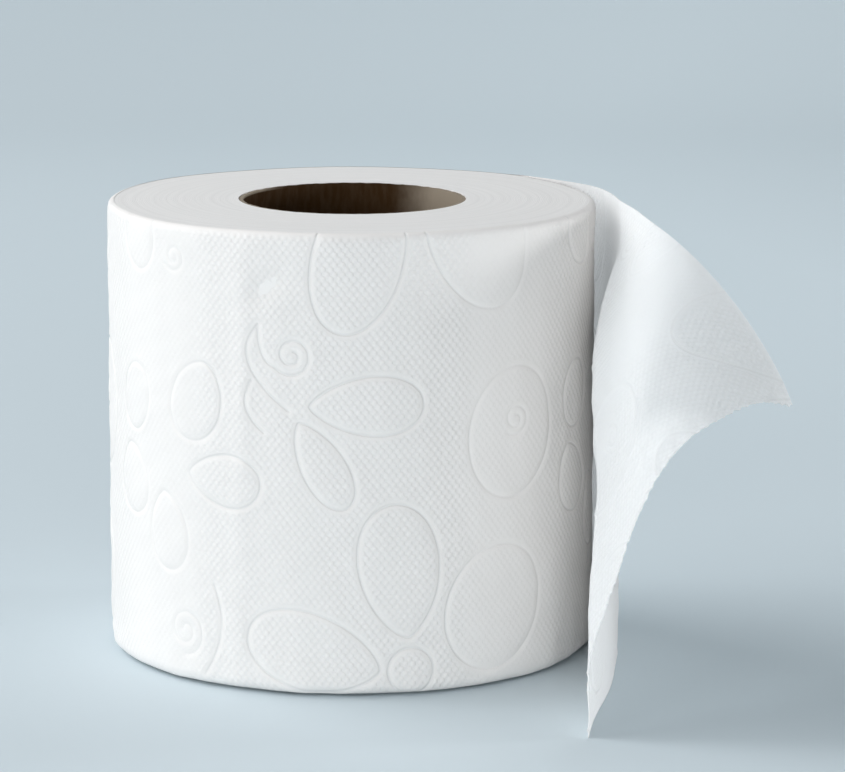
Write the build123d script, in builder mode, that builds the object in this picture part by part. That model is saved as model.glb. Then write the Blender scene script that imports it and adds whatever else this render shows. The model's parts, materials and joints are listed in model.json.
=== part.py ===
from build123d import *

import os
from math import cos, radians, sin

# A roll of embossed toilet paper standing on its end, with its last sheet hanging free.
# Frame: millimetres, +Z up along the roll's axis, origin on the axis at the foot of the roll.
# The web runs clockwise, seen from above, and leaves the wound roll at the root azimuth.

# Wound paper
roll_height = 98.0
roll_radius = 52.9
turn_step = 0.5
rim_top_round = 1.0
rim_foot_round = 1.8
rim_knee_share = 0.3

# Turns that show on the upper end face: one groove that winds outwards, clear of bore and rim
groove_turns = 7
groove_margin = 1.5
groove_width = 0.5
groove_depth = 0.25

# Cardboard core, wound from strips that meet in a helical seam
core_radius = 24.6
core_wall = 0.8
glue_gap = 0.1
seam_pitch = 88.0
seam_width = 0.8
seam_depth = 0.25
seam_overrun = 2.0

# Free sheet, from where it leaves the roll to the torn perforation
sheet_length = 124.0
sheet_thickness = 0.4
sheet_root_overlap = 1.0
sheet_floor_gap = 0.15
root_azimuth = 40.0

# How the sheet's foot curves on the floor: places along the sheet, and its turn there in degrees
curve_shares = (0, 0.10, 0.20, 0.30, 0.42, 0.58, 0.78, 1)
curve_turns = (0, 1, 17, 31, 50, 51, 49, 45)

# How its upper corner rolls outwards: straight lines across the flat sheet, each from a height on the
# torn edge to a place on the top edge, and the roll in degrees that the paper has made there
line_foot_shares = (0.14, 0.18, 0.48, 0.75, 0.94)
line_head_shares = (0.32, 0.41, 0.47, 0.64, 0.97)
line_rolls = (0, 33, 20, 97, 145)

# How finely the bends are shared out, and the net of points that carries the sheet's surface
bends_per_line = 12
easing_rounds = 30
net_along = 16
net_up = 7

root_way = Vector(cos(radians(root_azimuth)), sin(radians(root_azimuth)), 0)
leaving_way = root_way.cross(Vector(0, 0, 1))
root_radius = roll_radius - (turn_step + sheet_thickness) / 2
paper_bore_radius = core_radius + glue_gap
core_bore_radius = core_radius - core_wall
foot_knee = rim_foot_round * rim_knee_share
top_knee = rim_top_round * rim_knee_share
groove_first_radius = core_radius + groove_margin
groove_last_radius = roll_radius - rim_top_round - groove_margin
groove_pitch = (groove_last_radius - groove_first_radius) / groove_turns


def eased(values):
    """The given values shared out evenly between their neighbours and smoothed, ends kept."""
    fine = []
    for first, second in zip(values, values[1:]):
        for part in range(bends_per_line):
            fine.append(first + (second - first) * part / bends_per_line)
    fine.append(values[-1])
    for _ in range(easing_rounds):
        inner = [(a + 2 * b + c) / 4 for a, b, c in zip(fine, fine[1:], fine[2:])]
        fine = [fine[0]] + inner + [fine[-1]]
    return fine


def foot_curve():
    """The sheet's foot on the floor: length so far, place and turn at each step."""
    lengths = [share * sheet_length for share in eased(curve_shares)]
    turns = eased(curve_turns)
    place = root_way * root_radius
    curve = [(0, place, turns[0])]
    for i in range(1, len(lengths)):
        way = leaving_way.rotate(Axis.Z, -(turns[i - 1] + turns[i]) / 2)
        place = place + way * (lengths[i] - lengths[i - 1])
        curve.append((lengths[i], place, turns[i]))
    return curve


def rolling_lines():
    """The straight lines about which the corner rolls, with the sheet's pose beyond each line.

    A pose is three vectors: where the flat sheet's origin goes, and its two edge directions."""
    lines = []
    origin, along, up = Vector(0, 0, 0), Vector(1, 0, 0), Vector(0, 1, 0)
    rolled = 0
    for foot, head, roll in zip(eased(line_foot_shares), eased(line_head_shares), eased(line_rolls)):
        low = Vector(sheet_length, foot * roll_height, 0)
        high = Vector(head * sheet_length, roll_height, 0)
        low_place = origin + along * low.X + up * low.Y
        high_place = origin + along * high.X + up * high.Y
        axle = Axis(Vector(0, 0, 0), high_place - low_place)
        origin = low_place + (origin - low_place).rotate(axle, rolled - roll)
        along = along.rotate(axle, rolled - roll)
        up = up.rotate(axle, rolled - roll)
        rolled = roll
        lines.append((low, high, (origin, along, up)))
    return lines


def rolled_point(length, height, lines):
    """A point of the flat sheet after its corner is rolled: along, up and outwards."""
    flat_pose = (Vector(0, 0, 0), Vector(1, 0, 0), Vector(0, 1, 0))
    poses = [flat_pose] + [pose for _, _, pose in lines]
    beyond = []
    for low, high, _ in lines:
        side = (high - low).cross(Vector(length, height, 0) - low).Z
        beyond.append(-side)
    index = sum(1 for value in beyond if value > 0)
    spots = [origin + along * length + up * height for origin, along, up in poses]
    if index == 0 or index == len(lines):
        return spots[index]
    share = beyond[index - 1] / (beyond[index - 1] - beyond[index])
    return spots[index] + (spots[index + 1] - spots[index]) * share


def sheet_point(length, height, curve, lines):
    """Where a point of the flat sheet lies when it hangs, on the sheet's inner face."""
    spot = rolled_point(max(length, 0), height, lines)
    after = 1
    while after < len(curve) - 1 and curve[after][0] < spot.X:
        after += 1
    (start, place, turn), (end, next_place, next_turn) = curve[after - 1], curve[after]
    share = (spot.X - start) / (end - start)
    foot = place + (next_place - place) * share
    out = root_way.rotate(Axis.Z, -(turn + (next_turn - turn) * share))
    return foot + out * spot.Z + Vector(0, 0, spot.Y) + leaving_way * min(length, 0)


def sheet_face():
    """The inner face of the free sheet, from a little inside the roll to its torn edge."""
    curve, lines = foot_curve(), rolling_lines()
    net = []
    for i in range(net_along + 1):
        length = sheet_length * (i - 1) / (net_along - 1) if i else -sheet_root_overlap
        net.append([])
        for j in range(net_up):
            height = sheet_floor_gap + (roll_height - sheet_floor_gap) * j / (net_up - 1)
            net[-1].append(sheet_point(length, height, curve, lines))
    return Face.make_surface_from_array_of_points(net, min_deg=3, max_deg=3)


os.makedirs("parts", exist_ok=True)

# Cardboard core, sawn to length together with the paper
with BuildPart() as cardboard_core:
    with BuildSketch():
        Circle(core_radius)
        Circle(core_bore_radius, mode=Mode.SUBTRACT)
    extrude(amount=roll_height)
    with BuildLine(Plane.XY.offset(-seam_overrun)) as seam_line:
        Helix(pitch=seam_pitch, height=roll_height + 2 * seam_overrun, radius=core_bore_radius)
    with BuildSketch(Plane(origin=seam_line.line @ 0, z_dir=seam_line.line % 0)):
        Rectangle(2 * seam_depth, seam_width)
    sweep(path=seam_line.line, is_frenet=True, mode=Mode.SUBTRACT)
cardboard_core.part.label = "cardboard_core"
export_step(cardboard_core.part, "parts/cardboard_core.step")


# Paper web: the wound turns, and the last sheet that leaves them
with BuildPart() as paper_roll:
    # Two half turns about centres half a step apart wind the roll and leave one step at the root
    for side in (-1, 1):
        centre = root_way * side * turn_step / 4
        half_radius = roll_radius - turn_step / 2 + side * turn_step / 4
        with BuildSketch(Plane(origin=centre, x_dir=root_way * -side, z_dir=leaving_way * -side)):
            with BuildLine():
                Polyline(
                    (0, 0),
                    (half_radius - rim_foot_round, 0),
                    (half_radius - foot_knee, foot_knee),
                    (half_radius, rim_foot_round),
                    (half_radius, roll_height - rim_top_round),
                    (half_radius - top_knee, roll_height - top_knee),
                    (half_radius - rim_top_round, roll_height),
                    (0, roll_height),
                    close=True,
                )
            make_face()
        revolve(axis=Axis(centre, (0, 0, -1)), revolution_arc=180)

    with BuildSketch():
        Circle(paper_bore_radius)
    extrude(amount=roll_height, mode=Mode.SUBTRACT)

    # The turns show as one groove that winds outwards, in half turns
    for i in range(2 * groove_turns):
        side = 1 if i % 2 else -1
        centre = root_way * side * groove_pitch / 4
        middle = groove_first_radius + groove_pitch / 4 + i * groove_pitch / 2
        with BuildSketch(Plane(origin=centre, x_dir=root_way * -side, z_dir=leaving_way * -side)):
            with BuildLine():
                Polyline(
                    (middle - groove_width / 2, roll_height),
                    (middle + groove_width / 2, roll_height),
                    (middle, roll_height - groove_depth),
                    close=True,
                )
            make_face()
        revolve(axis=Axis(centre, (0, 0, -1)), revolution_arc=180, mode=Mode.SUBTRACT)

    # The free sheet starts inside the step that ends the outermost turn
    thicken(sheet_face(), amount=sheet_thickness)
paper_roll.part.label = "paper_roll"
export_step(paper_roll.part, "parts/paper_roll.step")
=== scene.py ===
# %% [markdown]
# # A roll of toilet paper
#
# The real thing is two pieces: one long strip of soft tissue, and the cardboard tube it is wound on.
# The frame already holds both at their real size, as plain solids. This lesson dresses them: the outermost
# turn gets its pressed ornament, the end faces get their turns, and the last sheet hangs free with its
# corner curled over. Everything stays in the frame's own place and in metres.

# %% The fixed frame
import json
import math

import bpy
import numpy as np
from mathutils import Matrix, Vector

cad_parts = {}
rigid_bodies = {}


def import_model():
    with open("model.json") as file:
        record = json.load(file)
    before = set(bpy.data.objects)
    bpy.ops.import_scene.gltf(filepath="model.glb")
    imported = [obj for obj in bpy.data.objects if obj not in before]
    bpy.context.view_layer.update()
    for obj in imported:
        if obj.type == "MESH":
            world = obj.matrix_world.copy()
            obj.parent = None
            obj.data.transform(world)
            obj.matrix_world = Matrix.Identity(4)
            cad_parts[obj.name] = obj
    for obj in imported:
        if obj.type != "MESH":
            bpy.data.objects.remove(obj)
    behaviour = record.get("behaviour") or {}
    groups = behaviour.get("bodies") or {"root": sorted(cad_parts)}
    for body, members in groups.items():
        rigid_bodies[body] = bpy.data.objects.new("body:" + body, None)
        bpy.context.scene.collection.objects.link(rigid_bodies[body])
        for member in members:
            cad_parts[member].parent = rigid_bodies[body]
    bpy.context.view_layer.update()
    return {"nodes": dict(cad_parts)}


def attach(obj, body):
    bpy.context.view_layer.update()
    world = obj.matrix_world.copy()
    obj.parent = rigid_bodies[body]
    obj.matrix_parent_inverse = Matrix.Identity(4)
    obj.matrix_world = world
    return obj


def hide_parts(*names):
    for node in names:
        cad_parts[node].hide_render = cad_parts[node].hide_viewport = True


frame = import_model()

print("nodes:", sorted(frame["nodes"]))

# %% [markdown]
# ## The camera
#
# The roll stands in front of a long lens, a little above its rim, so both the upper end face and the wall
# show. A camera can be aimed by a constraint or by its own turns. Three turns are written here, because
# they repeat exactly: tip down, swing to the right, and a trace of roll about the line of sight.

# %% Place and aim the camera
def aim(place, yaw, pitch, roll):
    """A camera's matrix, from its place and its turns in degrees."""
    swing = Matrix.Rotation(math.radians(-yaw), 4, "Z")
    tip = Matrix.Rotation(math.radians(90 - pitch), 4, "X")
    lean = Matrix.Rotation(math.radians(roll), 4, "Z")
    return Matrix.Translation(place) @ swing @ tip @ lean


eye = bpy.data.cameras.new("eye")
eye.sensor_width = 36
eye.lens = 182.8
camera = bpy.data.objects.new("camera", eye)
bpy.context.collection.objects.link(camera)
camera.matrix_world = aim((0, -0.9202, 0.2281), yaw=0.952, pitch=10.559, roll=0.152)
bpy.context.scene.camera = camera
print("camera at", tuple(round(v, 3) for v in camera.location), "lens", eye.lens)

# %% [markdown]
# ## The strip as a flat web
#
# Tissue is pressed with its ornament while it is still a flat web, and only then wound. The lesson works
# in the same order. A point of the web has a place along the strip and a height across it, in millimetres.
# The place is 0 where the last sheet leaves the roll, grows towards the torn edge, and is negative on the
# outermost turn. The sizes that later steps share are kept here: the web's width, the free sheet's length,
# the roll's radius, the step where the last turn ends, the direction of that step, and the core's radius.

# %% Sizes of the web
MM = 0.001
WEB = 98.0
SHEET = 124.0
ROLL = 52.9
STEP = 0.5
ROOT = 40.0
CORE = 24.6
TURN = math.tau * (ROLL - STEP / 2)
print("one turn is", round(TURN, 1), "mm of web, and the free sheet is", SHEET, "mm")

# %% [markdown]
# ## Petals, leaves and curls
#
# The press leaves outlines of petals and leaves, and a few curls, about a millimetre wide. They could be
# a displacement image, but a formula keeps them sharp at any size. An egg is a circle stretched along its
# axis, and a power of a half-angle sine draws one end to a point. A curl is a short spiral.

# %% Outlines by formula
def petal(along, up, half_length, half_width, angle, point=0.0):
    """A closed outline: centre, half sizes, lean in degrees, and how sharp its leading end is."""
    t = np.linspace(0, math.tau, 72, endpoint=False)
    x = half_length * np.cos(t)
    y = np.sin(t) * np.abs(np.sin(t / 2)) ** point
    y *= half_width / y.max()
    lean = math.radians(angle)
    return np.column_stack((along + x * math.cos(lean) - y * math.sin(lean),
                            up + x * math.sin(lean) + y * math.cos(lean)))


def curl(along, up, inner, outer, start, turns):
    """An open spiral about a centre, from its inner end outwards."""
    t = np.linspace(0, 1, 60)
    angle = math.radians(start) + math.tau * turns * t
    radius = inner + (outer - inner) * t
    return np.column_stack((along + radius * np.cos(angle), up + radius * np.sin(angle)))


def sweep(first, second, third):
    """An open arc through three places, as a smooth curve that bends evenly."""
    t = np.linspace(0, 1, 40)[:, None]
    a, b, c = (np.array(p, float) for p in (first, second, third))
    return (1 - t) * (1 - 2 * t) * a + 4 * t * (1 - t) * b + t * (2 * t - 1) * c


REPEAT = 115.0
petals = [
    petal(-212.5, 92.6, 16.0, 9.5, 105),
    petal(-238.8, 97.5, 17.0, 11.4, 68),
    petal(-214.4, 62.0, 12.0, 6.3, -1, 0.5),
    petal(-205.2, 49.4, 10.2, 4.7, 60, 0.4),
    petal(-221.4, 27.0, 14.3, 8.7, -97, 0.35),
    petal(-203.0, 9.6, 14.6, 8.2, -165, 0.35),
    petal(-223.7, 5.7, 4.9, 4.9, 0),
    petal(-175.9, 61.2, 8.7, 6.8, 109, 0.2),
    petal(-183.0, 45.0, 8.8, 5.6, 5, 0.5),
    petal(-167.6, 32.3, 8.4, 5.8, 80, 0.3),
    petal(-248.0, 54.5, 14.0, 11.2, 100),
    petal(-270.7, 59.5, 7.3, 5.4, 100),
    petal(-269.3, 41.6, 7.6, 5.9, 75, 0.3),
    petal(-243.6, 17.6, 13.6, 12.0, 120),
    petal(-272.5, 95.0, 8.0, 5.6, 80),
]
curls = [
    curl(-198.7, 72.4, 0.9, 4.5, 111, 1.6),
    sweep((-191.4, 78.6), (-189.4, 70.2), (-198.0, 60.7)),
    sweep((-191.4, 78.6), (-192.2, 72.6), (-194.9, 69.9)),
    sweep((-189.8, 66.8), (-188.8, 61.0), (-192.6, 56.0)),
    curl(-172.8, 11.6, 0.8, 5.3, 20, 1.7),
    sweep((-180.4, 22.5), (-182.4, 13.0), (-178.2, 3.0)),
    curl(-248.5, 57.2, 0.8, 3.6, 90, 1.6),
    curl(-169.8, 91.0, 0.6, 3.2, 150, 1.5),
]
print(len(petals), "petals and leaves and", len(curls), "curls, repeated every", REPEAT, "mm")

# %% [markdown]
# ## How far each point is from an outline
#
# To press a line, each point of the web needs to know how far it is from the nearest outline. The gap to a
# petal counts as negative inside it, so it passes evenly through nothing on the line itself. The gap to a
# curl has no inside. Only the points near an outline are worked out, which keeps this quick.

# %% Measure gaps to the outlines
REACH = 4.0


def gap_to(points, outline, closed):
    """Distance from points to a line of places, negative inside a closed one."""
    start = outline if closed else outline[:-1]
    end = np.roll(outline, -1, axis=0) if closed else outline[1:]
    edge = end - start
    away = points[:, None, :] - start[None, :, :]
    share = np.clip((away * edge).sum(2) / (edge * edge).sum(1), 0, 1)
    gap = np.linalg.norm(away - share[:, :, None] * edge[None, :, :], axis=2).min(1)
    if closed:
        rises = (start[None, :, 1] > points[:, None, 1]) != (end[None, :, 1] > points[:, None, 1])
        with np.errstate(divide="ignore", invalid="ignore"):
            cross = start[:, 0] + (points[:, None, 1] - start[:, 1]) * edge[:, 0] / edge[:, 1]
        inside = (rises & (points[:, None, 0] < cross)).sum(1) % 2 == 1
        gap = np.where(inside, -gap, gap)
    return gap


def ornament_gaps(points):
    """For each web point, the gap to the nearest petal and to the nearest curl."""
    gaps = []
    for lines, closed in ((petals, True), (curls, False)):
        nearest = np.full(len(points), REACH)
        for line in lines:
            for copy in range(-2, 4):
                moved = line + (copy * REPEAT, 0)
                low, high = moved.min(0) - REACH, moved.max(0) + REACH
                near = ((points > low) & (points < high)).all(1)
                if near.any():
                    nearest[near] = np.minimum(nearest[near], gap_to(points[near], moved, closed))
        gaps.append(nearest)
    return gaps


probe = np.array([(-215.4, 62.3), (-215.4, 68.2)])
print("gaps at two points:", [gap.round(2).tolist() for gap in ornament_gaps(probe)])

# %% [markdown]
# ## A flat web with detail where it is needed
#
# A pressed line needs points closer than half a millimetre, but plain paper doesn't. So the web starts as a
# coarse grid, and only the faces near an outline, a rim or the torn edge are selected and subdivided, twice.
# That keeps the piece well under the limit and still gives the lines real depth.

# %% Build a flat web
def select_only(thing):
    """Make one object the only selected and active one."""
    bpy.ops.object.select_all(action="DESELECT")
    thing.select_set(True)
    bpy.context.view_layer.objects.active = thing


def web_points(mesh):
    """All vertex places of a mesh as rows, in millimetres."""
    flat = np.empty(len(mesh.vertices) * 3)
    mesh.vertices.foreach_get("co", flat)
    return flat.reshape(-1, 3) / MM


def move_points(mesh, points):
    """Write rows of places in millimetres back to a mesh."""
    mesh.vertices.foreach_set("co", (points * MM).ravel())
    mesh.update()


def face_centres(mesh):
    """The middle of each face on the web, in millimetres."""
    flat = np.empty(len(mesh.polygons) * 3)
    mesh.polygons.foreach_get("center", flat)
    return flat.reshape(-1, 3)[:, :2] / MM


def flat_web(name, first, last, cell=1.6):
    """A flat grid of the web from one place along it to another, finer near lines and edges."""
    length = last - first
    bpy.ops.mesh.primitive_grid_add(x_subdivisions=round(length / cell),
                                    y_subdivisions=round(WEB / cell), size=1)
    web = bpy.context.active_object
    web.name = name
    points = web_points(web.data) * MM
    move_points(web.data, (points + (0.5, 0.5, 0)) * (length, WEB, 0) + (first, 0, 0))
    for reach, rim in ((2.0, 3.4), (1.25, 1.7)):
        centres = face_centres(web.data)
        petal_gap, curl_gap = ornament_gaps(centres)
        close = (np.abs(petal_gap) < reach) | (curl_gap < reach)
        close |= (centres[:, 1] < rim) | (centres[:, 1] > WEB - rim / 1.7)
        close |= np.abs(centres[:, 0] - SHEET) < rim
        bpy.ops.object.mode_set(mode="EDIT")
        bpy.ops.mesh.select_mode(type="FACE")
        bpy.ops.mesh.select_all(action="DESELECT")
        bpy.ops.object.mode_set(mode="OBJECT")
        web.data.polygons.foreach_set("select", close)
        bpy.ops.object.mode_set(mode="EDIT")
        bpy.ops.mesh.subdivide(number_cuts=1)
        bpy.ops.object.mode_set(mode="OBJECT")
    print(name, "flat web:", len(web.data.vertices), "points")
    return web


# %% [markdown]
# ## Pressing the web
#
# Each line is a groove with a soft shoulder on both sides, and a petal swells a little inside its outline.
# Over that, paper is never quite flat, so two slow waves and a short one lift it by a tenth of a millimetre
# or so. The gaps are kept on the mesh as attributes, because the material needs them too.

# %% Relief of the web
LINE_DEPTH = 0.15
SHOULDER = 0.04
SWELL = 0.14
FLAT_EDGE = 1.6


def smooth(share):
    """A ramp from 0 to 1 with soft ends."""
    share = np.clip(share, 0, 1)
    return share * share * (3 - 2 * share)


def line_relief(gap):
    """Height of a pressed line and its shoulders, in millimetres."""
    groove = -LINE_DEPTH * np.exp(-(gap / 0.36) ** 2)
    return groove + SHOULDER * np.exp(-((np.abs(gap) - 0.95) / 0.5) ** 2)


def waves(along, up):
    """The uneven lie of soft paper, in millimetres."""
    wave = 0.12 * np.sin(along / 9.0 + 1.3 * np.sin(up / 17.0)) * np.sin(up / 13.0 + along / 31.0 + 0.6)
    wave += 0.16 * np.sin(along / 4.7 - up / 7.1 + 0.4) * np.sin(up / 9.3 + 2.1)
    wave += 0.09 * np.sin(along / 1.6 + up / 2.7 + 2 * np.sin(up / 11)) * np.sin(up / 1.9 - along / 5.3)
    return wave


def press(web):
    """Lift the flat web by its relief, and keep places and gaps as attributes."""
    points = web_points(web.data)
    place = points[:, :2].copy()
    petal_gap, curl_gap = ornament_gaps(place)
    relief = line_relief(petal_gap) + line_relief(curl_gap) + SWELL * smooth(-petal_gap / 2.5)
    relief += waves(place[:, 0], place[:, 1])
    points[:, 2] += relief * smooth((WEB - place[:, 1]) / FLAT_EDGE) * smooth(place[:, 1] / FLAT_EDGE)
    move_points(web.data, points)
    kept = web.data.attributes.new("web_place", "FLOAT_VECTOR", "POINT")
    kept.data.foreach_set("vector", np.column_stack((place, np.zeros(len(place)))).ravel())
    for name, gap in (("petal_gap", petal_gap), ("curl_gap", curl_gap)):
        web.data.attributes.new(name, "FLOAT", "POINT").data.foreach_set("value", gap)
    print(web.name, "relief from", relief.min().round(2), "to", relief.max().round(2), "mm")


# %% [markdown]
# ## Winding the outermost turn
#
# The outermost turn ends half a millimetre further out than it began, one paper thickness and its air. So
# the wall is a slow spiral, not a circle. At the rims the paper is rounded over, most at the foot, where its
# edge is also lifted off the floor a little, and the upper rim is not quite even. Handling has left a crease,
# a dent and some crinkles. A flat point goes to its angle on the spiral, and its relief points straight out.

# %% The spiral and its rims
TOP_ROUND = 1.2
FOOT_ROUND = 3.0
FOOT_LIFT = 0.45
RIM_DIP = 0.12


def spiral_radius(along):
    """The wall's radius, which grows by one step over the turn."""
    return ROLL + STEP * along / TURN


def rim_profile(up, share):
    """How far the paper is drawn in at a height, its height then, and the lean of its outward way."""
    top, foot = TOP_ROUND * share, FOOT_ROUND * share
    lean = np.zeros_like(up)
    over = np.clip((up - (WEB - top)) / np.maximum(top, 1e-6), 0, 1) * math.pi / 2
    under = np.clip((foot - up) / np.maximum(foot, 1e-6), 0, 1) * math.pi / 2
    inset = top * (1 - np.cos(over)) + foot * (1 - np.cos(under))
    height = np.where(over > 0, WEB - top + top * np.sin(over), up)
    height = np.where(under > 0, foot - (foot - FOOT_LIFT * share) * np.sin(under), height)
    return inset, height, over - under


def rim_dip(angle):
    """How far the upper rim sinks at an angle, since the cut is never quite true."""
    return RIM_DIP * (1 + np.sin(5 * angle + 1.0) * np.sin(2 * angle))


# %% Marks of handling
CREASE_ALONG = -187.5
DENT_ALONG = -193
DENT_UP = 86.5
CRINKLE_ALONG = -260
CRINKLE_UP = 6


def crease_and_dent(along, up):
    """An upright crease and a slanted dent below the upper rim, in millimetres outwards."""
    crease = 0.38 * np.exp(-((along - CREASE_ALONG + 0.02 * (up - 49)) / 2.2) ** 2) * smooth(up / 14)
    across = 0.67 * (along - DENT_ALONG) + 0.74 * (up - DENT_UP)
    down = 0.67 * (up - DENT_UP) - 0.74 * (along - DENT_ALONG)
    dent = -0.9 * np.exp(-(across / 2.1) ** 2 - (down / 5.0) ** 2)
    return (crease + dent) * smooth((WEB - up) / 2)


def foot_crinkle(along, up):
    """One bulge and many small folds low on the wall, in millimetres outwards."""
    crinkle = 0.36 * np.exp(-((along - CRINKLE_ALONG) / 3.2) ** 2 - ((up - CRINKLE_UP) / 2.6) ** 2)
    crinkle += 0.10 * np.sin(along / 1.7 + 2 * np.sin(along / 13)) * smooth((9 - up) / 7)
    return crinkle * smooth(up / 3)


# %% Wrap the web round the roll
def wrap(points):
    """Places on the wall for flat points along, up and out."""
    along, up, out = points.T
    share = smooth(-along / 9.0)
    inset, height, lean = rim_profile(up, share)
    out = out + crease_and_dent(along, up)
    out = out + foot_crinkle(along, up) * share
    angle = np.radians(ROOT) - along / TURN * math.tau
    radius = spiral_radius(along) - inset + out * np.cos(lean)
    level = np.clip(height + out * np.sin(lean), 0, WEB)
    level = level - rim_dip(angle) * smooth((up - 80) / 18) * share
    return np.column_stack((radius * np.cos(angle), radius * np.sin(angle), level))


def flip_faces(thing):
    """Turn an object's faces round, because the bent web has its front inwards."""
    select_only(thing)
    bpy.ops.object.mode_set(mode="EDIT")
    bpy.ops.mesh.select_all(action="SELECT")
    bpy.ops.mesh.flip_normals()
    bpy.ops.object.mode_set(mode="OBJECT")


outer_turn = flat_web("outer_turn", -TURN, 0.0)
press(outer_turn)
move_points(outer_turn.data, wrap(web_points(outer_turn.data)))
flip_faces(outer_turn)
bpy.ops.object.shade_smooth()
print("outer turn:", len(outer_turn.data.polygons), "faces")

# %% [markdown]
# ## The wound body and its end faces
#
# Under the outermost turn lies the rest of the strip, and only its two end faces and its bore show. Each end
# face is some seventy turns of cut edges. A section outline that is spun about the axis gives the solid, and
# the rings on its end faces are then lifted and lowered a little, some turns standing prouder than others.

# %% Spin the section
BORE = 24.62
LEVELS = 140


def section_outline():
    """The closed section of the wound body: wall, upper end and foot, in millimetres."""
    heights = np.linspace(0, WEB, LEVELS)
    inset, height, lean = rim_profile(heights, 1.0)
    under = 0.08 + 0.4 * smooth(heights / 4) * smooth((WEB - heights) / 3)
    reach = ROLL - STEP / 2 - inset - under * np.cos(lean)
    wall_side = np.column_stack((reach, height - under * np.sin(lean)))
    at_rim = (heights < FOOT_ROUND) | (heights > WEB - TOP_ROUND)
    wall_side = wall_side[at_rim | (np.arange(LEVELS) % 8 == 0)]
    edge_foot, edge_top = wall_side[0, 0], wall_side[-1, 0]
    upper = np.linspace(edge_top, BORE, 96)[1:]
    lower = np.linspace(BORE, edge_foot, 40)[:-1]
    top_ring = np.column_stack((upper, np.full(len(upper), WEB - 0.03)))
    top_ring[0] = edge_top + 0.25, WEB - 0.09
    foot_ring = np.column_stack((lower, 0.03 + (FOOT_LIFT + 0.04) * smooth((lower - 44) / 5.5)))
    return np.vstack((wall_side, top_ring, foot_ring))


section = section_outline()
bpy.ops.mesh.primitive_circle_add(vertices=len(section), fill_type="NOTHING")
wound_body = bpy.context.active_object
wound_body.name = "wound_body"
move_points(wound_body.data, np.column_stack((section[:, 0], np.zeros(len(section)), section[:, 1])))
bpy.ops.object.mode_set(mode="EDIT")
bpy.ops.mesh.select_all(action="SELECT")
bpy.ops.mesh.spin(steps=240, angle=math.tau, center=(0, 0, 0), axis=(0, 0, 1))
bpy.ops.mesh.select_all(action="SELECT")
bpy.ops.mesh.remove_doubles(threshold=1e-6)
bpy.ops.mesh.normals_make_consistent(inside=False)
bpy.ops.object.mode_set(mode="OBJECT")
print("wound body:", len(wound_body.data.vertices), "points")

# %% Turns on the end faces
BAND = 1.9
TURN_DEPTH = 0.13
BANDS = 120


def turn_heights(radius, angle, seed):
    """How much lower than the proudest band of turns the paper's edge lies, in millimetres."""
    levels = np.random.default_rng(seed).random(BANDS)
    turn = (radius - 24.7) / BAND + angle / math.tau
    low = np.floor(turn).astype(int)
    share = smooth(turn - low)
    mixed = levels[low % BANDS] * (1 - share) + levels[(low + 1) % BANDS] * share
    swell = 0.5 + 0.5 * np.sin(2 * angle + radius / 6.0 + seed)
    return TURN_DEPTH * mixed * (0.4 + 0.6 * swell)


body = web_points(wound_body.data)
radius = np.hypot(body[:, 0], body[:, 1])
angle = (np.radians(ROOT) - np.arctan2(body[:, 1], body[:, 0])) % math.tau
along = angle / math.tau * TURN - TURN
shift = (spiral_radius(along) - (ROLL - STEP / 2)) * smooth((radius - 30) / 20)
fade = smooth((radius - 25.2) / 1.0) * smooth((50.6 - radius) / 1.2)
upper = body[:, 2] > WEB - 0.05
lower = (body[:, 2] < 0.05) & (radius < 49.0)
body[upper, 2] -= (turn_heights(radius, angle, 3) * fade)[upper]
around = np.radians(ROOT) - angle
body[:, 2] -= rim_dip(around) * smooth((body[:, 2] - 80) / 18) * smooth((radius - 38) / 12)
body[lower, 2] += (turn_heights(radius, angle, 8) * fade)[lower]
body[:, :2] *= (1 + shift / radius)[:, None]
move_points(wound_body.data, body)
select_only(wound_body)
bpy.ops.object.shade_smooth_by_angle(angle=math.radians(40))

# %% [markdown]
# ## How the last sheet hangs
#
# The last sheet leaves the roll and hangs free to its torn edge. Paper bends but hardly stretches, so its
# form is given by bends alone. First its foot: a curve on the floor that starts along the roll's wall and
# turns away from it. The turns are shared out along the sheet and evened, so the paper never kinks. Soft
# tissue also sags a little off that form. Three rows of slack say by how much along the sheet, in
# millimetres outwards: one for all heights, one near the floor and one between the middle and the top.

# %% The foot's curve
def eased(values):
    """Values shared out evenly between their neighbours and smoothed, ends kept."""
    fine = np.interp(np.arange((len(values) - 1) * 12 + 1) / 12, range(len(values)), values)
    for _ in range(30):
        fine[1:-1] = (fine[:-2] + 2 * fine[1:-1] + fine[2:]) / 4
    return fine


SHEET_WALL = 0.4
INNER = ROLL - (STEP + SHEET_WALL) / 2
leaving = ROOT - 90
foot_at = SHEET * eased((0, 0.10, 0.20, 0.30, 0.42, 0.58, 0.78, 1))
foot_turn = eased((0, 1, 17, 31, 50, 51, 49, 45))
heading = np.radians(leaving - (foot_turn[:-1] + foot_turn[1:]) / 2)
strides = np.diff(foot_at)[:, None] * np.column_stack((np.cos(heading), np.sin(heading)))
foot_start = INNER * np.array((math.cos(math.radians(ROOT)), math.sin(math.radians(ROOT))))
foot_place = foot_start + np.vstack(((0, 0), np.cumsum(strides, axis=0)))
slack = eased((0, 0.8, 1.0, -0.5, -1.1, -0.3, 0, 0, 0, 0, 0, 0, 0))
low_slack = eased((0, 0, 0, 0, 0, 0, 0.2, 1.2, 1.8, 1.7, 1.1, 0.7, 0.5))
high_slack = eased((0, 0, 0, -0.5, -1.7, -2.8, -3.9, -4.2, -3.4, -1.7, -0.5, 0, 0))
print("the foot ends at", foot_place[-1].round(1), "mm")

# %% [markdown]
# ## The curled corner
#
# The upper corner rolls outwards and down. A roll of paper is a fan of straight lines in the flat sheet, each
# of which turns what lies beyond it by a few more degrees. Each line runs from a height on the torn edge to
# a place on the top edge. A point's pose is that of the last line it lies beyond, blended to the next.

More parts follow.
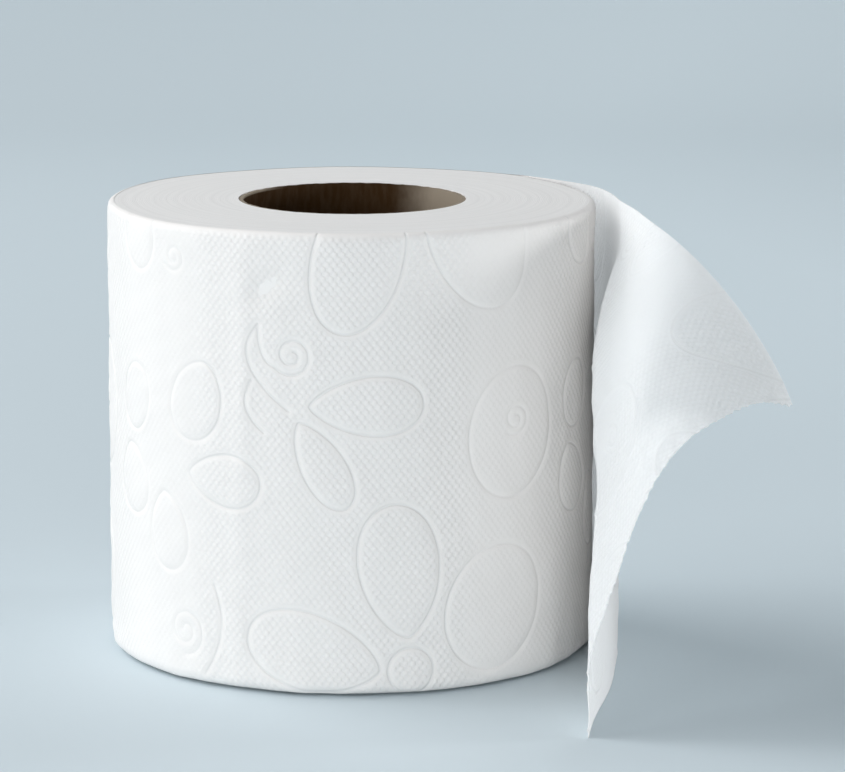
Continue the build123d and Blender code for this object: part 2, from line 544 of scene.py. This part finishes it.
# %% Lines that roll the corner
def corner_lines():
    """Flat lines, and the sheet's pose beyond each: its origin and its two edge ways."""
    feet = eased((0.14, 0.18, 0.48, 0.75, 0.94)) * WEB
    heads = eased((0.32, 0.41, 0.47, 0.64, 0.97)) * SHEET
    rolls = eased((0, 33, 20, 97, 145))
    origin, side, rise = Vector((0, 0, 0)), Vector((1, 0, 0)), Vector((0, 1, 0))
    lines, poses = [], [(origin, side, rise)]
    rolled = 0.0
    for foot, head, roll in zip(feet, heads, rolls):
        low = origin + side * SHEET + rise * foot
        high = origin + side * head + rise * WEB
        turn = Matrix.Rotation(math.radians(rolled - roll), 3, (high - low).normalized())
        origin, side, rise = low + turn @ (origin - low), turn @ side, turn @ rise
        rolled = roll
        lines.append((SHEET, foot, head, WEB))
        poses.append((origin, side, rise))
    return np.array(lines), np.array([[tuple(v) for v in pose] for pose in poses])


corner, poses = corner_lines()
print(len(corner), "lines roll the corner")


# %% Where a point of the sheet hangs
def hang(along, up):
    """Places in millimetres of the free sheet's inner face, for arrays of flat places."""
    flat = np.maximum(along, 0)
    run, climb = corner[:, 2] - corner[:, 0], corner[:, 3] - corner[:, 1]
    beyond = climb * (flat[:, None] - corner[:, 0]) - run * (up[:, None] - corner[:, 1])
    last = (beyond > 0).sum(1)
    rows = np.arange(len(flat))

    def posed(index):
        pose = poses[index]
        return pose[:, 0] + pose[:, 1] * flat[:, None] + pose[:, 2] * up[:, None]

    spot = posed(last)
    between = (last > 0) & (last < len(corner))
    behind = beyond[rows, np.maximum(last - 1, 0)]
    ahead = beyond[rows, np.minimum(last, len(corner) - 1)]
    share = np.where(between, behind / np.where(between, behind - ahead, 1), 0)
    spot += (posed(np.minimum(last + 1, len(corner))) - spot) * share[:, None]
    step = np.clip(np.searchsorted(foot_at, spot[:, 0]), 1, len(foot_at) - 1)
    part = (spot[:, 0] - foot_at[step - 1]) / (foot_at[step] - foot_at[step - 1])
    ground = foot_place[step - 1] + (foot_place[step] - foot_place[step - 1]) * part[:, None]
    facing = np.radians(ROOT - (foot_turn[step - 1] + (foot_turn[step] - foot_turn[step - 1]) * part))
    spread = np.linspace(0, SHEET, len(slack))
    off = np.interp(spot[:, 0], spread, slack)
    off += np.interp(spot[:, 0], spread, low_slack) * (1 - smooth(up / 35))
    off += np.interp(spot[:, 0], spread, high_slack) * smooth((up - 36) / 32) * smooth((WEB - up) / 26)
    ground = ground + (spot[:, 2] + off)[:, None] * np.column_stack((np.cos(facing), np.sin(facing)))
    back = np.minimum(along, 0)
    ground = ground + back[:, None] * (math.cos(math.radians(leaving)), math.sin(math.radians(leaving)))
    return np.column_stack((ground, spot[:, 1]))


corners = hang(np.array([0, SHEET, SHEET]), np.array([WEB, 0, WEB]))
print("root top, torn foot and torn corner:", corners.round(1).tolist())

# %% [markdown]
# ## The free sheet
#
# It is the same web with the same ornament, so it is built and pressed flat like the outermost turn. A tear
# along the perforation leaves small uneven teeth: each bridge between two slits lets go of a few fibres.
# Then the sheet gets its thickness with Solidify while it is flat, and is bent last, each layer standing
# off the inner face along its normal. Near its root it stands off a tenth of a millimetre more, so that it
# comes away flush with the wall.

# %% The torn edge
TOOTH = 2.35
TEAR_REACH = 2.2


def tear(web):
    """Draw the torn edge into uneven teeth."""
    points = web_points(web.data)
    up = points[:, 1]
    tooth = 0.5 + 0.5 * np.cos(up * math.tau / TOOTH + 1.1 * np.sin(up / 6.0))
    frayed = 0.3 * tooth ** 3 * (0.4 + np.sin(up / 7.0) ** 2)
    frayed += 0.15 * np.sin(up * 3.9 + 0.7) * np.sin(up * 1.7)
    frayed += 0.35 * np.sin(up / 5.0) * np.sin(up / 11.0 + 0.5)
    points[:, 0] += (frayed - 0.55) * smooth((points[:, 0] - (SHEET - TEAR_REACH)) / TEAR_REACH)
    move_points(web.data, points)


# %% Thicken and bend the sheet
PLY = 0.26
OVERLAP = 1.0
FLOOR_GAP = 0.05
NEARBY = 0.2


def bend(points):
    """Places of the hanging sheet for flat points along, up and out."""
    along, up, out = points.T
    here = hang(along, up)
    ahead = hang(along + NEARBY, up) - hang(along - NEARBY, up)
    above = hang(along, up + NEARBY) - hang(along, up - NEARBY)
    normal = np.cross(above, ahead)
    normal /= np.linalg.norm(normal, axis=1)[:, None]
    placed = here + normal * (out + SHEET_WALL / 2 + 0.1 * (1 - smooth(along / 12)))[:, None]
    placed[:, 2] = np.maximum(placed[:, 2], FLOOR_GAP)
    return placed


free_sheet = flat_web("free_sheet", -OVERLAP, SHEET)
press(free_sheet)
tear(free_sheet)
select_only(free_sheet)
ply = free_sheet.modifiers.new("ply", "SOLIDIFY")
ply.thickness = PLY * MM
ply.offset = 0
bpy.ops.object.modifier_apply(modifier=ply.name)
move_points(free_sheet.data, bend(web_points(free_sheet.data)))
flip_faces(free_sheet)
bpy.ops.object.shade_smooth_by_angle(angle=math.radians(60))
print("free sheet:", len(free_sheet.data.polygons), "faces")

# %% [markdown]
# ## The cardboard core
#
# The tube is wound from strips of board, and its cut edge shows as a thin ring. A cylinder without caps is
# cut into rings, pressed a little out of round, as a light tube in soft paper is, and gets its wall from
# Solidify, inwards.

# %% Model the tube
BOARD_WALL = 0.8

bpy.ops.object.select_all(action="DESELECT")
bpy.ops.mesh.primitive_cylinder_add(vertices=180, radius=CORE * MM, depth=WEB * MM, end_fill_type="NOTHING",
                                    location=(0, 0, WEB * MM / 2))
core_tube = bpy.context.active_object
core_tube.name = "core_tube"
bpy.ops.object.transform_apply(location=True, rotation=True, scale=True)
bpy.ops.object.mode_set(mode="EDIT")
bpy.ops.mesh.select_all(action="SELECT")
bpy.ops.mesh.subdivide(number_cuts=1)
for level in np.linspace(0, WEB, 25)[1:-1]:
    bpy.ops.mesh.select_all(action="SELECT")
    bpy.ops.mesh.bisect(plane_co=(0, 0, level * MM), plane_no=(0, 0, 1))
bpy.ops.mesh.select_all(action="SELECT")
bpy.ops.mesh.remove_doubles(threshold=1e-6)
bpy.ops.object.mode_set(mode="OBJECT")
print("cut into rings:", len(core_tube.data.polygons), "faces")

# %% Press it out of round and give it its wall
tube = web_points(core_tube.data)
angle = np.arctan2(tube[:, 1], tube[:, 0])
dent = 0.16 * (1 - np.cos(3 * angle + 0.8)) / 2 + 0.10 * (1 - np.sin(7 * angle + tube[:, 2] / 30)) / 2
frayed = 0.10 * np.abs(np.sin(angle * 23) * np.sin(angle * 9.5))
tube[:, :2] *= (1 - dent / CORE)[:, None]
tube[:, 2] -= np.where(tube[:, 2] > WEB - 0.1, 0.08 + frayed, 0)
move_points(core_tube.data, tube)
select_only(core_tube)
board = core_tube.modifiers.new("board", "SOLIDIFY")
board.thickness = BOARD_WALL * MM
board.offset = -1
bpy.ops.object.modifier_apply(modifier=board.name)
bpy.ops.object.shade_smooth_by_angle(angle=math.radians(50))
print("core tube:", len(core_tube.data.polygons), "faces")

# %% [markdown]
# ## Writing a material as sums
#
# Node trees are easier to read as formulas. One small class wraps a socket, so that plain expressions add
# the Math nodes, and one method makes any other node from its type, its settings and its inputs.

# %% A socket that can be reckoned with
class Value:
    """A node socket in a formula."""

    def __init__(self, tree, socket):
        self.tree, self.socket = tree, socket

    def math(self, operation, *others):
        values = {i: v for i, v in enumerate((self,) + others)}
        return self.node("ShaderNodeMath", {"operation": operation}, values)

    def node(self, kind, settings=None, inputs=None, output=0):
        """Any node: its settings first, then the values or links of its sockets."""
        made = self.tree.nodes.new(kind)
        for key, value in (settings or {}).items():
            setattr(made, key, value)
        for key, value in (inputs or {}).items():
            if isinstance(value, Value):
                self.tree.links.new(value.socket, made.inputs[key])
            else:
                made.inputs[key].default_value = value
        return Value(self.tree, made.outputs[output])

    def __add__(self, other):
        return self.math("ADD", other)

    def __sub__(self, other):
        return self.math("SUBTRACT", other)

    def __rsub__(self, other):
        return self.node("ShaderNodeMath", {"operation": "SUBTRACT"}, {0: other, 1: self})

    def __mul__(self, other):
        return self.math("MULTIPLY", other)

    def __truediv__(self, other):
        return self.math("DIVIDE", other)

    __radd__ = __add__
    __rmul__ = __mul__

    def cosine(self):
        return self.math("COSINE")

    def size(self):
        return self.math("ABSOLUTE")

    def ramp(self, low, high):
        """0 below low, 1 above high, soft between."""
        return self.node("ShaderNodeMapRange", {"interpolation_type": "SMOOTHSTEP"},
                         {"Value": self, "From Min": low, "From Max": high})

    def axis(self, name):
        """One of a vector's three numbers."""
        return self.node("ShaderNodeSeparateXYZ", None, {0: self}, name)

    def noise(self, scale, detail):
        """Soft noise at this place."""
        return self.node("ShaderNodeTexNoise", None, {"Vector": self, "Scale": scale, "Detail": detail})

    def attribute(self, name, output="Fac"):
        """What the mesh keeps under a name."""
        return self.node("ShaderNodeAttribute", {"attribute_name": name}, None, output)


def new_material(name, rough, **constants):
    """An empty material: its first value, to start formulas from, and its shader."""
    material = bpy.data.materials.new(name)
    material.use_nodes = True
    shader = material.node_tree.nodes["Principled BSDF"]
    shader.inputs["Roughness"].default_value = rough
    for socket, value in constants.items():
        shader.inputs[socket.replace("_", " ")].default_value = value
    start = material.node_tree.nodes.new("ShaderNodeTexCoord")
    return material, Value(material.node_tree, start.outputs["Object"]), shader


def colours(value, share, first, second):
    """A blend of two colours by a share."""
    return value.node("ShaderNodeMix", {"data_type": "RGBA"}, {"Factor": share, 6: first, 7: second}, 2)


def finish(value, shader, colour, rough=None, height=None, depth=0.0):
    """Send colour, roughness and a bump height to the shader."""
    links = value.tree.links
    links.new(colour.socket, shader.inputs["Base Color"])
    if rough:
        links.new(rough.socket, shader.inputs["Roughness"])
    if height:
        bump = value.node("ShaderNodeBump", None, {"Strength": 1.0, "Distance": depth, "Height": height})
        links.new(bump.socket, shader.inputs["Normal"])


# %% [markdown]
# ## Embossed tissue
#
# Between the outlines the tissue carries a fine lattice of raised dots, 1.6 by 2.1 millimetres with one more
# in each middle. They are too many for the mesh, so the material adds them as bump, by two cosines of the
# web's own coordinates, and leaves them off beside the pressed lines. The colour is painted darker between
# the dots and along the pressed lines: painted shade in those hollows. The rollers don't press evenly, so
# the dots and the lines fade and come back along the web. Fibres are a finer noise on top.
#
# The hanging sheet lets light through, so its shader scatters light beneath the surface. At its root it
# still has the roll close behind it. There it is blended from the wall's plain shader, or a dark step would
# show beside the wall.

# %% Tissue for the pressed web
WHITE = (0.905, 0.897, 0.888, 1)
WARM_WHITE = (0.905, 0.884, 0.865, 1)
SHADE = (0.845, 0.835, 0.824, 1)
DOT_ALONG = 1.63
DOT_UP = 2.06
FIRM_SHIFT = 206
FIRM_REPEAT = 82.7


def pressed_tissue(name, white, **constants):
    """Tissue with its lattice of dots: the material, its shader, and the place along the web."""
    material, place, shader = new_material(name, 0.92, **constants)
    web_place = place.attribute("web_place", "Vector")
    along, up = web_place.axis("X"), web_place.axis("Y")
    petal_gap = place.attribute("petal_gap")
    curl_gap = place.attribute("curl_gap")
    dots = (along * (math.tau / DOT_ALONG)).cosine() * (up * (math.tau / DOT_UP)).cosine()
    plain = petal_gap.size().ramp(0.6, 1.3) * curl_gap.ramp(0.6, 1.3) * (WEB - up).ramp(0.4, 1.6)
    fibres = place.noise(2600.0, 3.0)
    cloud = place.noise(60.0, 2.0)
    firm = ((along + FIRM_SHIFT) * (math.tau / FIRM_REPEAT)).cosine().ramp(-0.9, -0.3) * 0.7 + 0.3
    lattice = dots.ramp(-0.75, 0.85) * plain * firm
    groove = (2 - petal_gap.size().ramp(0.08, 0.42) - curl_gap.ramp(0.08, 0.42)) * firm
    # painted shade: the colour is darkened between the raised dots and along the pressed grooves, the hollows
    tint = colours(place, (1 - lattice) * 0.55 * plain * firm + cloud * 0.25 + groove * 0.7, white, SHADE)
    height = lattice + fibres * 0.5 - groove * 1.1
    finish(place, shader, tint, 0.86 + fibres * 0.1, height, 0.12 * MM)
    return material, shader, along


pressed = pressed_tissue("pressed_tissue", WARM_WHITE, Sheen_Weight=0.1, Sheen_Roughness=0.6)[0]
hanging, thin, sheet_along = pressed_tissue("hanging_tissue", WHITE, Subsurface_Weight=1.0,
                                            Subsurface_Scale=0.003, Subsurface_Radius=(1.0, 1.0, 1.0))


# %% The root of the hanging sheet
def back_root(material, thin, along):
    """Shade the sheet like the wall near its root, where the roll still stands behind it."""
    nodes, links = material.node_tree.nodes, material.node_tree.links
    backed = nodes.new("ShaderNodeBsdfPrincipled")
    backed.inputs["Sheen Weight"].default_value = 0.1
    backed.inputs["Sheen Roughness"].default_value = 0.6
    for name in ("Base Color", "Roughness", "Normal"):
        links.new(thin.inputs[name].links[0].from_socket, backed.inputs[name])
    blend = nodes.new("ShaderNodeMixShader")
    links.new(along.ramp(2.0, 24.0).socket, blend.inputs["Fac"])
    links.new(backed.outputs["BSDF"], blend.inputs[1])
    links.new(thin.outputs["BSDF"], blend.inputs[2])
    links.new(blend.outputs["Shader"], nodes["Material Output"].inputs["Surface"])


back_root(hanging, thin, sheet_along)
print("materials of the web:", pressed.name, "and", hanging.name)

# %% [markdown]
# ## Cut edges of tissue
#
# On the end faces the saw has cut every turn. They show as very fine rings, a third of a millimetre apart,
# softened by loose fibres. The rings are a wave of the distance from the axis, wound into a spiral by the
# angle, and the bump is shallow, because tissue edges mat together.

# %% Tissue for the end faces
RING = 0.37
# The end faces' white is paper white set a little paler than the wall's: partly painted light on the top.
LIT_CUT_WHITE = (0.93, 0.918, 0.905, 1)

cut, place, shader = new_material("cut_tissue", 0.95, Sheen_Weight=0.1, Sheen_Roughness=0.6)
x, y = place.axis("X"), place.axis("Y")
reach = (x * x + y * y).math("SQRT") / MM
swing = y.math("ARCTAN2", x) / math.tau
ripple = place.noise(220.0, 3.0)
rings = ((reach / RING + swing + ripple * 1.6) * math.tau).cosine()
bands = place.node("ShaderNodeTexNoise", {"noise_dimensions": "1D"},
                   {"W": reach * 0.9, "Scale": 1.0, "Detail": 2.0})
fuzz = place.noise(3000.0, 4.0)
height = rings * 0.2 + fuzz * 0.8 + bands * 0.5
tint = colours(place, bands.ramp(0.35, 0.75) * 0.45 + fuzz * 0.15, LIT_CUT_WHITE, SHADE)
finish(place, shader, tint, None, height, 0.06 * MM)

# %% [markdown]
# ## Raw board
#
# The core's board is painted a near-black brown: its own brown, darkened as painted shade for the dark inside
# of the tube. It has a few paler flecks, and the strips it is wound from meet in a helical seam. The seam is
# a thin line of the angle and the height together. The lip's front left and the upper right side are painted
# pale where the lamps fall on them: painted light. Each of these two places is a product of ramps, and noise
# roughens the border of the second.

# %% Cardboard
# The first colour is the board's brown darkened near black: painted shade for the inside of the tube.
SHADED_BOARD = (0.045, 0.021, 0.006, 1)
PALE_BOARD = (0.32, 0.27, 0.21, 1)
SEAM_PITCH = 0.088

cardboard, place, shader = new_material("core_cardboard", 0.93, Specular_IOR_Level=0.15)
x, y, z = place.axis("X"), place.axis("Y"), place.axis("Z")
helix = (y.math("ARCTAN2", x) / math.tau + z / SEAM_PITCH).math("FRACT")
seam = 1 - (helix - 0.5).size().ramp(0.0, 0.012)
stretched = place.node("ShaderNodeMapping", None, {"Vector": place, "Scale": (900, 900, 260)})
flecks = stretched.noise(1.0, 5.0)
patch_border = place.noise(130.0, 3.0)
# painted light: pale where the lamps fall, on the upper right side and on the lip's front left
painted_light_patch = (x + patch_border * 0.008).ramp(0.012, 0.024) * (z + patch_border * 0.006).ramp(0.082, 0.094)
lit_lip = z.ramp(0.0973, 0.0977) * (0 - x - y).ramp(-0.006, 0.012)
paler = flecks.ramp(0.35, 0.7) * 0.05 + painted_light_patch * 1.05 + lit_lip * 1.2 - seam * 0.03
tint = colours(place, paler, SHADED_BOARD, PALE_BOARD)
finish(place, shader, tint, None, flecks * 0.6 - seam, 0.12 * MM)

# %% [markdown]
# ## Dressing the pieces
#
# Each piece gets its material and rides on the one body of the frame, and the frame's solids are hidden.

# %% Hand the pieces to the frame
dressed = ((outer_turn, pressed), (free_sheet, hanging), (wound_body, cut), (core_tube, cardboard))
for piece, material in dressed:
    piece.data.materials.clear()
    piece.data.materials.append(material)
    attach(piece, "root")
for piece in (wound_body, outer_turn, free_sheet):
    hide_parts("paper_roll")
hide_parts("cardboard_core")

# %% [markdown]
# ## The stage
#
# The roll stands on a pale blue table that runs up into a wall of the same colour without a corner. A long
# sweep does that: a grid whose far rows are lifted along a curve. It is stage, not part of the object. Its
# colour changes evenly with the place, in two blends, as the light on a real backdrop falls off.

# %% Table and backdrop
STAGE_SIDE = 6.0
STAGE_NEAR = -1.6
BACKDROP_START = 0.9

bpy.ops.object.select_all(action="DESELECT")
bpy.ops.mesh.primitive_grid_add(x_subdivisions=8, y_subdivisions=120, size=1)
sweep_stage = bpy.context.active_object
sweep_stage.name = "stage_sweep"
ground = web_points(sweep_stage.data) * MM
ground[:, 0] *= STAGE_SIDE
ground[:, 1] = (ground[:, 1] + 0.5) * STAGE_SIDE + STAGE_NEAR
rise = np.clip((ground[:, 1] - BACKDROP_START) / 1.2, 0, None)
ground[:, 2] = np.where(rise > 0, 1.2 * rise ** 2 / (1 + 0.35 * rise), 0)
move_points(sweep_stage.data, ground / MM)
bpy.ops.object.shade_smooth()

# %% Pale blue for the stage
DEEP_BLUE = (0.61, 0.69, 0.735, 1)
PALE_BLUE = (0.785, 0.89, 0.945, 1)
FAR_BLUE = (0.53, 0.65, 0.72, 1)

table, place, shader = new_material("pale_blue_table", 0.75, Specular_IOR_Level=0.2)
grain = place.noise(400.0, 2.0)
paler = place.axis("Y").ramp(0.1, 0.9) * 0.42 - place.axis("Y").ramp(0.7, 1.6) * 0.5
paler = paler + place.axis("X") * 2.2 + 0.42
tint = colours(place, paler + grain * 0.03, DEEP_BLUE, PALE_BLUE)
tint = colours(place, place.axis("Y").ramp(0.9, 1.8) * 0.9, tint, FAR_BLUE)
finish(place, shader, tint)
sweep_stage.data.materials.append(table)

# %% [markdown]
# ## Light
#
# White paper needs gentle light, or its bright side goes flat white and the ornament drowns. Small lamps
# would also draw a hard shadow of the roll on its own free sheet. So two broad discs stand at the left and
# back left, and two smaller ones low in front bring out the relief. One low disc at the right shines through
# the hanging sheet, and a slightly cool surround fills the shadows.

# %% Lamps
LAMP_DISTANCE = 1.6
AIM_HEIGHT = 0.05


def soft_lamp(name, azimuth, elevation, size, watts):
    """A round area lamp in a direction from the roll, turned to it."""
    data = bpy.data.lights.new(name, "AREA")
    data.shape, data.size, data.energy = "DISK", size, watts
    lamp = bpy.data.objects.new(name, data)
    bpy.context.collection.objects.link(lamp)
    level = math.radians(elevation)
    way = Vector((math.cos(math.radians(azimuth)) * math.cos(level),
                  math.sin(math.radians(azimuth)) * math.cos(level), math.sin(level)))
    turn = way.to_track_quat("Z", "Y").to_matrix().to_4x4()
    lamp.matrix_world = Matrix.Translation(way * LAMP_DISTANCE + Vector((0, 0, AIM_HEIGHT))) @ turn
    lamp.visible_camera = False
    print(name, "lamp:", watts, "W")


soft_lamp("left", azimuth=190, elevation=30, size=1.2, watts=6.7)
soft_lamp("front_left", azimuth=236, elevation=9, size=0.6, watts=5.35)
soft_lamp("front", azimuth=274, elevation=6, size=0.35, watts=4.9)
soft_lamp("back_left", azimuth=156, elevation=42, size=1.2, watts=13.4)
soft_lamp("right", azimuth=5, elevation=6, size=0.35, watts=8.5)

# %% Surround
world = bpy.data.worlds.new("surround")
world.use_nodes = True
sky = world.node_tree.nodes["Background"]
sky.inputs["Color"].default_value = (0.93, 0.97, 1.0, 1)
sky.inputs["Strength"].default_value = 0.285
bpy.context.scene.world = world
bpy.context.scene.view_settings.view_transform = "Standard"

# %% [markdown]
# ## Boxes as plain numbers
#
# A box's two corners are turned into plain lists of numbers.

# %% A box as plain numbers
def plain(box):
    """A box's two corners as plain lists of numbers."""
    return [list(map(float, corner)) for corner in box]
